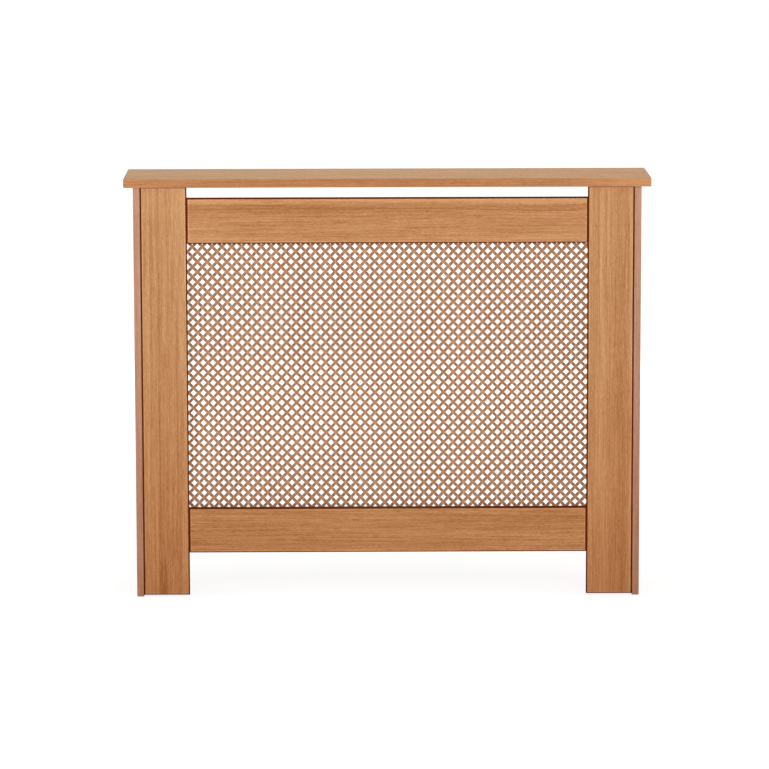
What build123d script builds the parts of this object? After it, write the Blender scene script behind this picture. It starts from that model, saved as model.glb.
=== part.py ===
"""Radiator cover cabinet: an open-backed cabinet that stands over a wall radiator.

Frame of the model: +Z up, +X to the right, the front faces -Y and the wall is at the
back, +Y. The origin is on the floor, under the middle of the top board. Millimetres.

Two side panels stand on the floor and carry a top board. Between them stands a front
frame of two stiles and two rails, with a lattice grille on its back. Cam fittings and
dowels join the boards, and two steel angles hold the cabinet back to the wall.
"""
from build123d import *
from build123d.topology.shape_core import SkipClean
from math import ceil, floor
import os

# ---------------------------------------------------------------- driving dimensions
overall_width = 1115.0        # top board, over its edge bands
overall_depth = 210.0         # front of the top board to the wall
overall_height = 900.0        # floor to the top face

top_thickness = 18.0
top_side_overhang = 19.5      # top board past the outer face of a side panel
top_front_overhang = 15.0     # top board past the front edge of a side panel
side_thickness = 15.0
band_thickness = 2.0          # strips glued on the cut edges that show
band_radius = 1.2             # rounding of their outer arrises

skirting_notch_depth = 22.0   # cut from the back of each side panel, to pass a skirting
skirting_notch_height = 120.0

frame_thickness = 15.0
frame_setback = 2.0           # front frame behind the front edges of the side panels
stile_width = 98.0
stile_lift = 3.0              # stiles clear the floor
bottom_rail_height = 97.0
top_rail_height = 97.0
bottom_air_gap = 95.0         # floor to the bottom rail
top_air_gap = 24.0            # top rail to the underside of the top board
arris_bevel = 1.8             # bevel round the front face of each stile and rail

grille_thickness = 3.0
grille_lap = 20.0             # grille behind the edges of the frame's opening
grille_margin = 3.0           # least plain border outside the last whole hole
hole_pitch_x = 20.9           # diamond holes, centre to centre in a row
hole_pitch_z = 21.65          # from a row to the next row that lines up with it
hole_width = 13.3             # diagonals of one diamond hole
hole_height = 13.8
pattern_offset_x = 4.2        # a column of holes, right of the middle of the cabinet
pattern_offset_z = 8.9        # a row of holes, above the top edge of the bottom rail
pattern_bands = 20            # diagonal bands that the sheet's two broad faces are kept in

dowel_diameter = 8.0
dowel_length = 30.0
dowel_chamfer = 1.0
dowel_in_face = 10.0          # depth of a dowel in the face of a board
dowel_end_room = 0.5          # hole past each end of a dowel

cam_diameter = 15.0
cam_length = 12.0
cam_recess_width = 2.0        # cross recess in the outer end of a cam
cam_recess_span = 7.0
cam_recess_depth = 2.5
cam_backset = 24.0            # joint face to the middle of a cam
bolt_thread_diameter = 5.0
bolt_thread_length = 10.0
bolt_collar_diameter = 7.0
bolt_collar_length = 1.0      # flange that stops the bolt, let into the mating board
bolt_shank_diameter = 5.0
bolt_neck_diameter = 3.6
bolt_neck_length = 5.5
bolt_head_diameter = 6.0
bolt_head_length = 2.4
cap_diameter = 17.0
cap_thickness = 1.2
cap_dome = 0.5                # rounding of a cap's rim

grille_screw_diameter = 3.0
grille_screw_length = 13.0    # under the head
grille_screw_head = 6.0
grille_screw_head_height = 2.0
grille_screws_per_stile = 4
grille_screws_per_rail = 5
washer_diameter = 9.0
washer_thickness = 0.8

bracket_leg = 30.0
bracket_height = 40.0
bracket_thickness = 2.0
bracket_bend_radius = 1.5     # inside the bend
bracket_drop = 82.0           # underside of the top board to the middle of a bracket
bracket_hole_spacing = 24.0
bracket_wall_hole = 5.5
bracket_hole_from_bend = 18.0
bracket_screw_diameter = 4.0
bracket_screw_length = 14.0
bracket_screw_head = 8.0
bracket_screw_head_height = 2.6

rail_dowel_spacing = 60.0     # two dowels in each end of a rail
stile_cam_inset = 100.0       # outer cams of a stile, from its ends
stile_dowel_inset = 240.0     # dowels of a stile, from its ends
top_dowel_inset = 35.0        # dowels in the top edge of a side, from its front and back
top_cam_inset = 67.0          # cams in the same edge

fit_clearance = 0.15          # round a dowel, cam, bolt or screw, on the radius
screw_recess_width = 0.8      # cross recess in a screw head
screw_recess_share = 0.55     # its span, as a share of the head
screw_recess_depth = 1.1
screw_tip_share = 0.8         # chamfer of a screw's tip, as a share of its radius
screw_head_share = 0.6        # rounding of a screw's head, as a share of its height

# ---------------------------------------------------------------- planes and edges
front_y = -overall_depth / 2
back_y = overall_depth / 2
underside_z = overall_height - top_thickness
side_outer_x = overall_width / 2 - top_side_overhang
side_inner_x = side_outer_x - side_thickness
side_front_y = front_y + top_front_overhang
frame_front_y = side_front_y + frame_setback
frame_back_y = frame_front_y + frame_thickness
frame_middle_y = frame_front_y + frame_thickness / 2
grille_back_y = frame_back_y + grille_thickness
opening_x = side_inner_x - stile_width
bottom_rail_top = bottom_air_gap + bottom_rail_height
top_rail_top = underside_z - top_air_gap
top_rail_bottom = top_rail_top - top_rail_height
rail_middles = (
    bottom_air_gap + bottom_rail_height / 2,
    top_rail_bottom + top_rail_height / 2,
)
side_middle_x = side_outer_x - side_thickness / 2
bracket_z = underside_z - bracket_drop

TO_BACK = Vector(0, 1, 0)
ON_PLANE = 0.01               # what lies this near to a plane counts as on it
UPWARDS = (Align.CENTER, Align.CENTER, Align.MIN)
DOWNWARDS = (Align.CENTER, Align.CENTER, Align.MAX)


# ---------------------------------------------------------------- small helpers
def block(x0, x1, y0, y1, z0, z1):
    """A box between two corners."""
    size = Box(x1 - x0, y1 - y0, z1 - z0)
    return Pos((x0 + x1) / 2, (y0 + y1) / 2, (z0 + z1) / 2) * size


def rod(start, direction, diameter, length):
    """A round rod or drilled hole that starts at a point and runs along a direction."""
    return Plane(origin=start, z_dir=direction) * Cylinder(diameter / 2, length, align=UPWARDS)


def drilled(board, holes):
    """A board with its holes cut."""
    return board - holes if holes else board


def cross_recess(width, span, depth):
    """A cross-shaped cutter, its top face at z = 0."""
    return Box(span, width, depth, align=DOWNWARDS) + Box(width, span, depth, align=DOWNWARDS)


# ---------------------------------------------------------------- places of the fittings
def stile_heights(inset):
    """Two heights on a stile, the same distance from its bottom and its top."""
    return (stile_lift + inset, underside_z - inset)


def stile_cam_heights():
    """A stile is pulled to its side panel near both ends and in the middle."""
    low, high = stile_heights(stile_cam_inset)
    return (low, (low + high) / 2, high)


def side_depths(inset):
    """Two places along the top edge of a side panel, from its front and from its back."""
    return (side_front_y + inset, back_y - inset)


def cam_joints():
    """Joint point and direction of each cam bolt, by group, from its threaded board."""
    rails = [
        (Vector(side * opening_x, frame_middle_y, z), Vector(-side, 0, 0))
        for z in rail_middles
        for side in (-1, 1)
    ]
    stiles = [
        (Vector(side * side_inner_x, frame_middle_y, z), Vector(-side, 0, 0))
        for z in stile_cam_heights()
        for side in (-1, 1)
    ]
    tops = [
        (Vector(side * side_middle_x, y, underside_z), Vector(0, 0, -1))
        for y in side_depths(top_cam_inset)
        for side in (-1, 1)
    ]
    return {"rail": rails, "stile": stiles, "top": tops}


def dowel_joints():
    """Joint point, direction and depth behind the joint face of each dowel, by group."""
    rails = [
        (Vector(side * opening_x, frame_middle_y, z + shift), Vector(-side, 0, 0))
        for z in rail_middles
        for shift in (-rail_dowel_spacing / 2, rail_dowel_spacing / 2)
        for side in (-1, 1)
    ]
    stiles = [
        (Vector(side * side_inner_x, frame_middle_y, z), Vector(-side, 0, 0))
        for z in stile_heights(stile_dowel_inset)
        for side in (-1, 1)
    ]
    sides = [
        (Vector(side * side_middle_x, y, underside_z), Vector(0, 0, -1))
        for y in side_depths(top_dowel_inset)
        for side in (-1, 1)
    ]
    stile_tops = [
        (Vector(side * (opening_x + stile_width / 2), frame_middle_y, underside_z), Vector(0, 0, -1))
        for side in (-1, 1)
    ]
    return {
        "rail": [(point, way, dowel_length / 2) for point, way in rails],
        "stile": [(point, way, dowel_in_face) for point, way in stiles],
        "top": [(point, way, dowel_in_face) for point, way in sides + stile_tops],
    }


def cam_face(point, way):
    """The open end of a cam: its middle on the board's hidden face, and that face's normal."""
    centre = point + way * cam_backset
    if way.Z:
        inward = Vector(-1 if point.X > 0 else 1, 0, 0)
        return Vector(side_inner_x * -inward.X, centre.Y, centre.Z), inward
    return Vector(centre.X, frame_back_y, centre.Z), TO_BACK


# ---------------------------------------------------------------- fittings
def cam_lock(point, way):
    """A cam housing: a drum, slotted towards the joint, with a pocket for the bolt head."""
    face, normal = cam_face(point, way)
    drum = rod(face, -normal, cam_diameter - 2 * fit_clearance, cam_length)
    drum -= Plane(origin=face, x_dir=way, z_dir=normal) * cross_recess(
        cam_recess_width, cam_recess_span, cam_recess_depth
    )
    axis_point = point + way * (cam_backset - cam_diameter / 2)
    neck_room = rod(axis_point, way, bolt_neck_diameter + 2 * fit_clearance, cam_diameter / 2)
    head_start = point + way * (cam_backset - bolt_head_length - fit_clearance)
    head_room = rod(
        head_start,
        way,
        bolt_head_diameter + 2 * fit_clearance,
        bolt_head_length + 2 * fit_clearance,
    )
    return drum - neck_room - head_room


def cam_bolt(point, way):
    """A cam bolt: thread in the mating board, collar, shank, thin neck and round head."""
    shank_length = cam_backset - bolt_head_length - bolt_neck_length
    bolt = rod(point, -way, bolt_thread_diameter, bolt_thread_length)
    bolt += rod(point, -way, bolt_collar_diameter, bolt_collar_length)
    bolt += rod(point, way, bolt_shank_diameter, shank_length)
    bolt += rod(point + way * shank_length, way, bolt_neck_diameter, bolt_neck_length)
    head_start = point + way * (shank_length + bolt_neck_length)
    return bolt + rod(head_start, way, bolt_head_diameter, bolt_head_length)


def bolt_holes_in_mate(point, way):
    """Pilot hole and collar counterbore in the board that the bolt screws into."""
    pilot = rod(
        point,
        -way,
        bolt_thread_diameter + 2 * fit_clearance,
        bolt_thread_length + dowel_end_room,
    )
    counterbore = rod(
        point, -way, bolt_collar_diameter + 2 * fit_clearance, bolt_collar_length + fit_clearance
    )
    return pilot + counterbore


def cam_holes(point, way):
    """Blind cam hole and the bolt hole from the board's edge that meets it."""
    face, normal = cam_face(point, way)
    pocket = rod(face, -normal, cam_diameter, cam_length + fit_clearance)
    return pocket + rod(point, way, bolt_head_diameter + 2 * fit_clearance, cam_backset)


def cover_cap(point, way):
    """A plastic cap that covers a cam: a thin disc with a softened rim and a cross peg."""
    face, normal = cam_face(point, way)
    disc = Cylinder(cap_diameter / 2, cap_thickness, align=UPWARDS)
    disc = fillet(disc.edges().group_by(Axis.Z)[-1], cap_dome)
    peg = cross_recess(
        cam_recess_width - 2 * fit_clearance,
        cam_recess_span - 2 * fit_clearance,
        cam_recess_depth - dowel_end_room,
    )
    return Plane(origin=face, x_dir=way, z_dir=normal) * (disc + peg)


def dowel(point, way, behind):
    """A beech dowel across a joint face, with chamfered ends."""
    pin = Cylinder(dowel_diameter / 2, dowel_length, align=UPWARDS)
    pin = chamfer(pin.edges().filter_by(GeomType.CIRCLE), dowel_chamfer)
    return Plane(origin=point - way * behind, z_dir=way) * pin


def dowel_hole(point, way, behind):
    """The hole for one dowel, through the joint face, with room at both ends."""
    start = point - way * (behind + dowel_end_room)
    return rod(start, way, dowel_diameter + 2 * fit_clearance, dowel_length + 2 * dowel_end_room)


def pan_screw(diameter, length, head, head_height):
    """A pan-head screw that points down from z = 0, its head above."""
    shank = Cylinder(diameter / 2, length, align=DOWNWARDS)
    shank = chamfer(shank.edges().group_by(Axis.Z)[0], diameter / 2 * screw_tip_share)
    top = Cylinder(head / 2, head_height, align=UPWARDS)
    top = fillet(top.edges().group_by(Axis.Z)[-1], head_height * screw_head_share)
    recess = cross_recess(screw_recess_width, head * screw_recess_share, screw_recess_depth)
    return shank + top - Pos(0, 0, head_height) * recess


# ---------------------------------------------------------------- lattice
def lattice_point(column, row):
    """Half-pitch grid of the lattice: even sums are holes, odd sums are strip crossings."""
    x = pattern_offset_x + column * hole_pitch_x / 2
    z = bottom_rail_top + pattern_offset_z + row * hole_pitch_z / 2
    return x, z


def crossing_near(x, z, along_x):
    """A crossing of two strips close to a point, moved sideways or upwards off a hole."""
    base_x, base_z = lattice_point(0, 0)
    column = round((x - base_x) / (hole_pitch_x / 2))
    row = round((z - base_z) / (hole_pitch_z / 2))
    if (column + row) % 2 == 0 and along_x:
        column += 1
    elif (column + row) % 2 == 0:
        row += 1
    return lattice_point(column, row)


def grille_screw_places():
    """Screws in the middle of the lap, spread evenly along the stiles and the rails."""
    lap_x = opening_x + grille_lap / 2
    rail_rows = (bottom_rail_top - grille_lap / 2, top_rail_bottom + grille_lap / 2)
    opening_height = top_rail_bottom - bottom_rail_top
    places = []
    for index in range(grille_screws_per_stile):
        z = bottom_rail_top + opening_height * (index + 0.5) / grille_screws_per_stile
        places += [crossing_near(side * lap_x, z, along_x=False) for side in (-1, 1)]
    for index in range(grille_screws_per_rail):
        x = opening_x * (2 * (index + 0.5) / grille_screws_per_rail - 1)
        places += [crossing_near(x, z, along_x=True) for z in rail_rows]
    return places


def diamond(x, z):
    """The closed outline of one diamond hole, on the back plane of the frame."""
    half_width = hole_width / 2
    half_height = hole_height / 2
    return flat_polygon(
        [(x + half_width, z), (x, z + half_height), (x - half_width, z), (x, z - half_height)]
    )


def sheet_outline():
    """The low and high corners of the grille's sheet, as x and z."""
    half_width = opening_x + grille_lap
    return (-half_width, bottom_rail_top - grille_lap), (half_width, top_rail_bottom + grille_lap)


def lattice_columns_and_rows():
    """The half-pitch columns and rows whose holes lie whole in the sheet."""
    (low_x, low_z), (high_x, high_z) = sheet_outline()
    room_x = grille_margin + hole_width / 2
    room_z = grille_margin + hole_height / 2
    base_x, base_z = lattice_point(0, 0)
    first_column = ceil((low_x + room_x - base_x) / (hole_pitch_x / 2))
    last_column = floor((high_x - room_x - base_x) / (hole_pitch_x / 2))
    first_row = ceil((low_z + room_z - base_z) / (hole_pitch_z / 2))
    last_row = floor((high_z - room_z - base_z) / (hole_pitch_z / 2))
    return range(first_column, last_column + 1), range(first_row, last_row + 1)


def flat_polygon(corners):
    """A closed outline on the back plane of the frame, from corners given as x and z."""
    points = [Vector(x, frame_back_y, z) for x, z in corners]
    return Wire.make_polygon(points, close=True)


def band_edges(columns, rows, far):
    """Sums of column and row at the band edges: odd, so each edge is the middle of a strip.

    The first and the last edge lie far outside the sheet.
    """
    low = columns[0] + rows[0]
    high = columns[-1] + rows[-1]
    step = (high - low) / pattern_bands
    sums = [low - far] + [low + step * index for index in range(1, pattern_bands)] + [high + far]
    return [2 * round((total - 1) / 2) + 1 for total in sums]


def lattice_grille():
    """A sheet of perforated hardboard.

    It is worked out in diagonal bands that meet along the middle of a strip, because
    a face with thousands of holes is slow to test. The bands are joined into one solid.
    """
    (low_x, low_z), (high_x, high_z) = sheet_outline()
    columns, rows = lattice_columns_and_rows()
    sheet = Face(flat_polygon([(low_x, low_z), (high_x, low_z), (high_x, high_z), (low_x, high_z)]))
    screws = grille_screw_places()
    far = len(columns) + len(rows)
    edges = band_edges(columns, rows, far)
    bands = []
    for low, high in zip(edges, edges[1:]):
        corners = [(low + far, -far), (high + far, -far), (high - far, far), (low - far, far)]
        band = sheet & Face(flat_polygon([lattice_point(*corner) for corner in corners]))
        holes = [
            diamond(*lattice_point(column, row))
            for row in rows
            for column in columns
            if low < column + row < high and (column + row) % 2 == 0
        ]
        bands.append(Solid.extrude(Face(band.face().outer_wire(), holes), TO_BACK * grille_thickness))
    with SkipClean():
        whole = bands[0].fuse(*bands[1:], glue=True)
        bores = [
            rod(
                Vector(x, frame_back_y, z),
                TO_BACK,
                grille_screw_diameter + 2 * fit_clearance,
                grille_thickness,
            )
            for x, z in screws
        ]
        return whole.cut(*bores)


def grille_pilot_holes():
    """Blind holes in the back of the frame for the grille screws."""
    depth = grille_screw_length - grille_thickness - washer_thickness + dowel_end_room
    return [
        rod(Vector(x, frame_back_y, z), -TO_BACK, grille_screw_diameter + 2 * fit_clearance, depth)
        for x, z in grille_screw_places()
    ]


def grille_screws():
    """One screw in each place, its head on a washer on the back of the grille."""
    screw = pan_screw(
        grille_screw_diameter, grille_screw_length, grille_screw_head, grille_screw_head_height
    )
    seat = grille_back_y + washer_thickness
    return [
        Plane(origin=(x, seat, z), z_dir=TO_BACK) * screw for x, z in grille_screw_places()
    ]


def grille_washers():
    """A flat washer under each grille screw."""
    ring = Cylinder(washer_diameter / 2, washer_thickness, align=UPWARDS)
    ring -= Cylinder(grille_screw_diameter / 2 + fit_clearance, washer_thickness, align=UPWARDS)
    return [
        Plane(origin=(x, grille_back_y, z), z_dir=TO_BACK) * ring
        for x, z in grille_screw_places()
    ]


# ---------------------------------------------------------------- boards
def cam_group(*names):
    """The cam joints of the named groups in one list."""
    joints = cam_joints()
    return [joint for name in names for joint in joints[name]]


def dowel_group(*names):
    """The dowel joints of the named groups in one list."""
    joints = dowel_joints()
    return [joint for name in names for joint in joints[name]]


def top_board():
    """The core of the top board, between its edge bands, drilled from below."""
    half = overall_width / 2 - band_thickness
    board = block(-half, half, front_y + band_thickness, back_y, underside_z, overall_height)
    holes = [bolt_holes_in_mate(*joint) for joint in cam_group("top")]
    holes += [dowel_hole(*joint) for joint in dowel_group("top")]
    return drilled(board, holes)


def top_front_band():
    """The band along the front edge of the top board, rounded on all its outer arrises."""
    half = overall_width / 2
    inner = front_y + band_thickness
    band = block(-half, half, front_y, inner, underside_z, overall_height)
    outer = [edge for edge in band.edges() if edge.center().Y < inner - ON_PLANE]
    return fillet(outer, band_radius)


def top_end_band(side):
    """The band on one end of the top board, from the front band to the back."""
    outer = side * overall_width / 2
    inner = outer - side * band_thickness
    low, high = sorted((inner, outer))
    band = block(low, high, front_y + band_thickness, back_y, underside_z, overall_height)
    lengthwise = band.edges().filter_by(Axis.Y)
    arrises = [edge for edge in lengthwise if abs(edge.center().X - outer) < ON_PLANE]
    return fillet(arrises, band_radius)


def side_panel(side):
    """A side panel behind its front band, notched for the skirting and drilled."""
    low, high = sorted((side * side_inner_x, side * side_outer_x))
    panel = block(low, high, side_front_y + band_thickness, back_y, 0, underside_z)
    panel -= block(low, high, back_y - skirting_notch_depth, back_y, 0, skirting_notch_height)
    holes = [cam_holes(*joint) for joint in cam_group("top") if joint[0].X * side > 0]
    holes += [
        dowel_hole(*joint)
        for joint in dowel_group("top", "stile")
        if joint[0].X * side > side_inner_x - ON_PLANE
    ]
    holes += [bolt_holes_in_mate(*joint) for joint in cam_group("stile") if joint[0].X * side > 0]
    holes += [
        rod(
            Vector(side * side_inner_x, bracket_screw_y(), z),
            Vector(side, 0, 0),
            bracket_screw_diameter + 2 * fit_clearance,
            bracket_screw_length - bracket_thickness + dowel_end_room,
        )
        for z in bracket_hole_heights()
    ]
    return drilled(panel, holes)


def side_band(side):
    """The band on the front edge of a side panel, rounded on its two long front arrises."""
    low, high = sorted((side * side_inner_x, side * side_outer_x))
    band = block(low, high, side_front_y, side_front_y + band_thickness, 0, underside_z)
    arrises = band.edges().filter_by(Axis.Z).group_by(Axis.Y)[0]
    return fillet(arrises, band_radius)


def frame_member(x0, x1, z0, z1):
    """A stile or rail: a flat board with a bevel round its front face."""
    board = block(x0, x1, frame_front_y, frame_back_y, z0, z1)
    return chamfer(board.faces().sort_by(Axis.Y)[0].edges(), arris_bevel)


def holes_within(holes, x0, x1, z0, z1):
    """The holes whose middle lies in a member, or on its edge."""
    kept = []
    for hole in holes:
        centre = hole.center()
        if x0 < centre.X < x1 and z0 < centre.Z < z1:
            kept.append(hole)
    return kept


def stile(side):
    """One stile, with the holes of its side, rail and top joints and of the grille."""
    low, high = sorted((side * opening_x, side * side_inner_x))
    member = frame_member(low, high, stile_lift, underside_z)
    cams = [joint for joint in cam_group("stile") if joint[0].X * side > 0]
    rail_bolts = [joint for joint in cam_group("rail") if joint[0].X * side > 0]
    dowels = [joint for joint in dowel_group("rail", "stile") if joint[0].X * side > 0]
    dowels += [
        joint
        for joint in dowel_group("top")
        if opening_x < joint[0].X * side < side_inner_x
    ]
    holes = [cam_holes(*joint) for joint in cams]
    holes += [bolt_holes_in_mate(*joint) for joint in rail_bolts]
    holes += [dowel_hole(*joint) for joint in dowels]
    holes += holes_within(grille_pilot_holes(), low, high, stile_lift, underside_z)
    return drilled(member, holes)


def rail(low, high):
    """One rail, with the holes of its end joints and of the grille."""
    member = frame_member(-opening_x, opening_x, low, high)
    holes = [cam_holes(*joint) for joint in cam_group("rail") if low < joint[0].Z < high]
    holes += [dowel_hole(*joint) for joint in dowel_group("rail") if low < joint[0].Z < high]
    holes += holes_within(grille_pilot_holes(), -opening_x, opening_x, low, high)
    return drilled(member, holes)


# ---------------------------------------------------------------- wall brackets
def bracket_hole_heights():
    """The two heights of the holes in each leg of a bracket."""
    return (bracket_z - bracket_hole_spacing / 2, bracket_z + bracket_hole_spacing / 2)


def bracket_screw_y():
    """How far back the screws through the side leg stand."""
    return back_y - bracket_hole_from_bend


def wall_bracket(side):
    """A steel angle: one leg on the side panel, the other flat against the wall."""
    reach = bracket_leg
    low = bracket_z - bracket_height / 2
    high = bracket_z + bracket_height / 2
    xs = sorted((side * side_inner_x, side * (side_inner_x - bracket_thickness)))
    leg = block(*xs, back_y - reach, back_y, low, high)
    xs = sorted((side * side_inner_x, side * (side_inner_x - reach)))
    foot = block(*xs, back_y - bracket_thickness, back_y, low, high)
    angle = leg + foot
    upright = angle.edges().filter_by(Axis.Z)
    inner = upright.sort_by_distance(
        Vector(side * (side_inner_x - bracket_thickness), back_y - bracket_thickness, bracket_z)
    )[0]
    angle = fillet(inner, bracket_bend_radius)
    outer = angle.edges().filter_by(Axis.Z).sort_by_distance(
        Vector(side * side_inner_x, back_y, bracket_z)
    )[0]
    angle = fillet(outer, bracket_bend_radius + bracket_thickness)
    for z in bracket_hole_heights():
        angle -= rod(
            Vector(side * (side_inner_x - reach), bracket_screw_y(), z),
            Vector(side, 0, 0),
            bracket_screw_diameter + 2 * fit_clearance,
            reach,
        )
        angle -= rod(
            Vector(side * (side_inner_x - bracket_hole_from_bend), back_y - reach, z),
            TO_BACK,
            bracket_wall_hole,
            reach,
        )
    return angle


def bracket_screws():
    """The screws that hold both brackets to the side panels."""
    screw = pan_screw(
        bracket_screw_diameter,
        bracket_screw_length,
        bracket_screw_head,
        bracket_screw_head_height,
    )
    seat = side_inner_x - bracket_thickness
    return [
        Plane(origin=(side * seat, bracket_screw_y(), z), z_dir=(-side, 0, 0)) * screw
        for side in (-1, 1)
        for z in bracket_hole_heights()
    ]


# ---------------------------------------------------------------- the assembly
def assembly():
    """Every node of the cabinet by name: one solid, or a list of like solids."""
    every_cam = cam_group("rail", "stile", "top")
    nodes = {
        "top_board": top_board(),
        "top_front_edge_band": top_front_band(),
        "top_left_edge_band": top_end_band(-1),
        "top_right_edge_band": top_end_band(1),
        "left_side_panel": side_panel(-1),
        "right_side_panel": side_panel(1),
        "left_side_edge_band": side_band(-1),
        "right_side_edge_band": side_band(1),
        "left_stile": stile(-1),
        "right_stile": stile(1),
        "bottom_rail": rail(bottom_air_gap, bottom_rail_top),
        "top_rail": rail(top_rail_bottom, top_rail_top),
        "lattice_grille": lattice_grille(),
        "grille_screws": grille_screws(),
        "grille_washers": grille_washers(),
        "left_wall_bracket": wall_bracket(-1),
        "right_wall_bracket": wall_bracket(1),
        "bracket_screws": bracket_screws(),
        "cam_cover_caps": [cover_cap(*joint) for joint in every_cam],
    }
    for group in ("rail", "stile", "top"):
        nodes[f"{group}_cam_bolts"] = [cam_bolt(*joint) for joint in cam_group(group)]
        nodes[f"{group}_cam_locks"] = [cam_lock(*joint) for joint in cam_group(group)]
        nodes[f"{group}_dowels"] = [dowel(*joint) for joint in dowel_group(group)]
    return nodes


def main():
    """Write one STEP file for each node."""
    os.makedirs("parts", exist_ok=True)
    for name, shape in assembly().items():
        if isinstance(shape, list):
            shape = Compound(children=shape)
        shape.label = name
        # The lattice has only flat faces and round bores, so its file leaves out the
        # curves in each face's own coordinates, which would make it three times as long.
        export_step(shape, f"parts/{name}.step", write_pcurves=name != "lattice_grille")


main()
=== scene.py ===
"""Looks of a radiator cover cabinet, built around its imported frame.

The boards, edge bands and the lattice grille are surfaces worked out here. They stand where
the frame has their plain solids. Screws, cams, dowels and brackets keep the frame's shapes
and get their finish here. Lengths are in metres, +Z is up and the front faces -Y.
"""

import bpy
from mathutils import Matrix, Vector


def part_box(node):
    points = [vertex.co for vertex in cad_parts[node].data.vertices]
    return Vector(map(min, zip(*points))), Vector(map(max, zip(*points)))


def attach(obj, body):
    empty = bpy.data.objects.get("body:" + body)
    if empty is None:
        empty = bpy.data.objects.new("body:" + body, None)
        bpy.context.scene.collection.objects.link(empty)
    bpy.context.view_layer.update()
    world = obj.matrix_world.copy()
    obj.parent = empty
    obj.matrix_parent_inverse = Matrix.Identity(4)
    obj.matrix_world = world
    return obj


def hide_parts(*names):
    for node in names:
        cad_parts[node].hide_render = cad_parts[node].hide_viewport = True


bl_info = {
    "name": "Radiator cover cabinet",
    "version": (1, 0, 0),
    "blender": (4, 5, 0),
    "location": "3D View > Sidebar > Cabinet",
    "description": "Builds the boards, grille, fittings and studio of a radiator cover cabinet",
    "category": "Add Mesh",
}

import math

import bpy
import numpy as np
from mathutils import Matrix, Vector

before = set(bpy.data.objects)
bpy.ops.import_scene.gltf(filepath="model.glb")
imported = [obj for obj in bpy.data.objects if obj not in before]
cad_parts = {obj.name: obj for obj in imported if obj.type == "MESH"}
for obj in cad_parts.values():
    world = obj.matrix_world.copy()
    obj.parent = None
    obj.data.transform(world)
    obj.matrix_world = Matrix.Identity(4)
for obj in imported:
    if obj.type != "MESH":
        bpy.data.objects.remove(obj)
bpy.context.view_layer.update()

MM = 0.001
PHOTO_PIXELS = 769
BODY = "root"
FACE, CORE, BACK = 0.0, 1.0, 2.0      # zones of a board: its face, its edges and its back
PAINTED_HIGHLIGHT_ZONE = -0.5                           # zone of a face beside its bevel, where a highlight is painted
FACE_TO_CORE = (0.35, 0.55)           # zones between which a face turns into an edge
CORE_TO_BACK = (1.4, 1.6)             # zones between which an edge turns into a back
OAK_DARK = (0.736, 0.600, 0.440)      # factors of a colour where a highlight is painted beside a bevel
OAK_LIGHT = (1.268, 1.441, 1.700)     # the same where it is lightest
OAK_PAINTED_HIGHLIGHT = (1.45, 1.55, 1.75)         # the same where the foil is worn
PAINTED_HIGHLIGHT_SHARE = 0.45                     # how much of that painted highlight shows
PORE = (0.19, 0.02, 0.0)              # what the pores are mixed with
PORE_SHARE = 0.30                     # how much of it
PORE_CELLS = (1500.0, 55.0)           # pores per metre, across and along the grain
PORE_EDGE = (0.60, 0.70)              # noise values between which a pore begins
OAK_DRIFT = 0.005                     # how far the grain wanders, in metres
OAK_DRIFT_CELLS = (9.0, 2.2)          # wanderings per metre, across and along the grain
OAK_RELIEF = (0.00006, 0.5)           # depth of the pressed grain, and strength of its bump
OAK_SPECULAR = 0.15
OAK_GRAIN = (                         # cells per metre across and along the grain, and share
    (26.0, 0.9, 0.40),
    (110.0, 1.8, 0.40),
    (420.0, 5.0, 1.25),
    (520.0, 30.0, 0.75),
    (700.0, 160.0, 0.95),
    (1100.0, 90.0, 0.60),
)
SECTION_STEPS = 4                     # points of a rounded arris
BIG_FACE = 0.004                      # flat border that keeps a broad face's shading flat
AXES = {"X": 0, "Y": 1, "Z": 2}
FLOOR_REACH = 12.0                    # half the side of the floor
FLOOR_DROP = 0.2 * MM                 # keeps the floor clear of the cabinet's feet
SOFT_LIGHTS = (                       # name, place, aim, size and the setting of its power
    ("front", (-0.03, -1.8, 1.12), (-0.01, 0.0, 0.9), (2.4, 0.6), "front_power"),
    ("overhead", (0.0, 0.3, 2.6), (0.0, 0.0, 0.9), (2.4, 1.2), "top_power"),
    ("left", (-3.2, -0.6, 1.3), (-0.55, 0.0, 0.5), (2.0, 2.0), "side_power"),
    ("right", (3.2, -0.6, 1.3), (0.55, 0.0, 0.5), (2.0, 2.0), "side_power"),
    ("back", (0.0, 3.2, 0.9), (0.0, 0.0, 0.5), (4.0, 1.6), "back_power"),
)


# ---------------------------------------------------------------- settings a user may change
def length(name, description, default):
    """A length in metres for a property group."""
    return bpy.props.FloatProperty(
        name=name, description=description, default=default, unit="LENGTH", precision=5
    )


def share(name, description, default):
    """A plain number for a property group."""
    return bpy.props.FloatProperty(name=name, description=description, default=default)


def colour(name, description, default):
    """A colour, in linear light, for a property group."""
    return bpy.props.FloatVectorProperty(
        name=name, description=description, default=default, size=3, subtype="COLOR", min=0, max=1
    )


class CabinetBoards(bpy.types.PropertyGroup):
    """Shapes of the boards' edges."""

    frame_bevel: length("Frame bevel", "Bevel round the front of stiles and rails", 1.8 * MM)
    dark_line: length("Dark line", "Dark border of the front face, beside the bevel", 0.8 * MM)
    bevel_arris: length("Bevel arris", "Rounding of the arrises beside that bevel", 0.5 * MM)
    board_arris: length("Board arris", "Rounding of the other arrises", 0.3 * MM)
    band_arris: length("Band arris", "Rounding of an edge band's outer arrises", 1.2 * MM)
    notch_depth: length("Notch depth", "Skirting notch, from the wall", 22 * MM)
    notch_height: length("Notch height", "Skirting notch, from the floor", 120 * MM)


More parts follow.
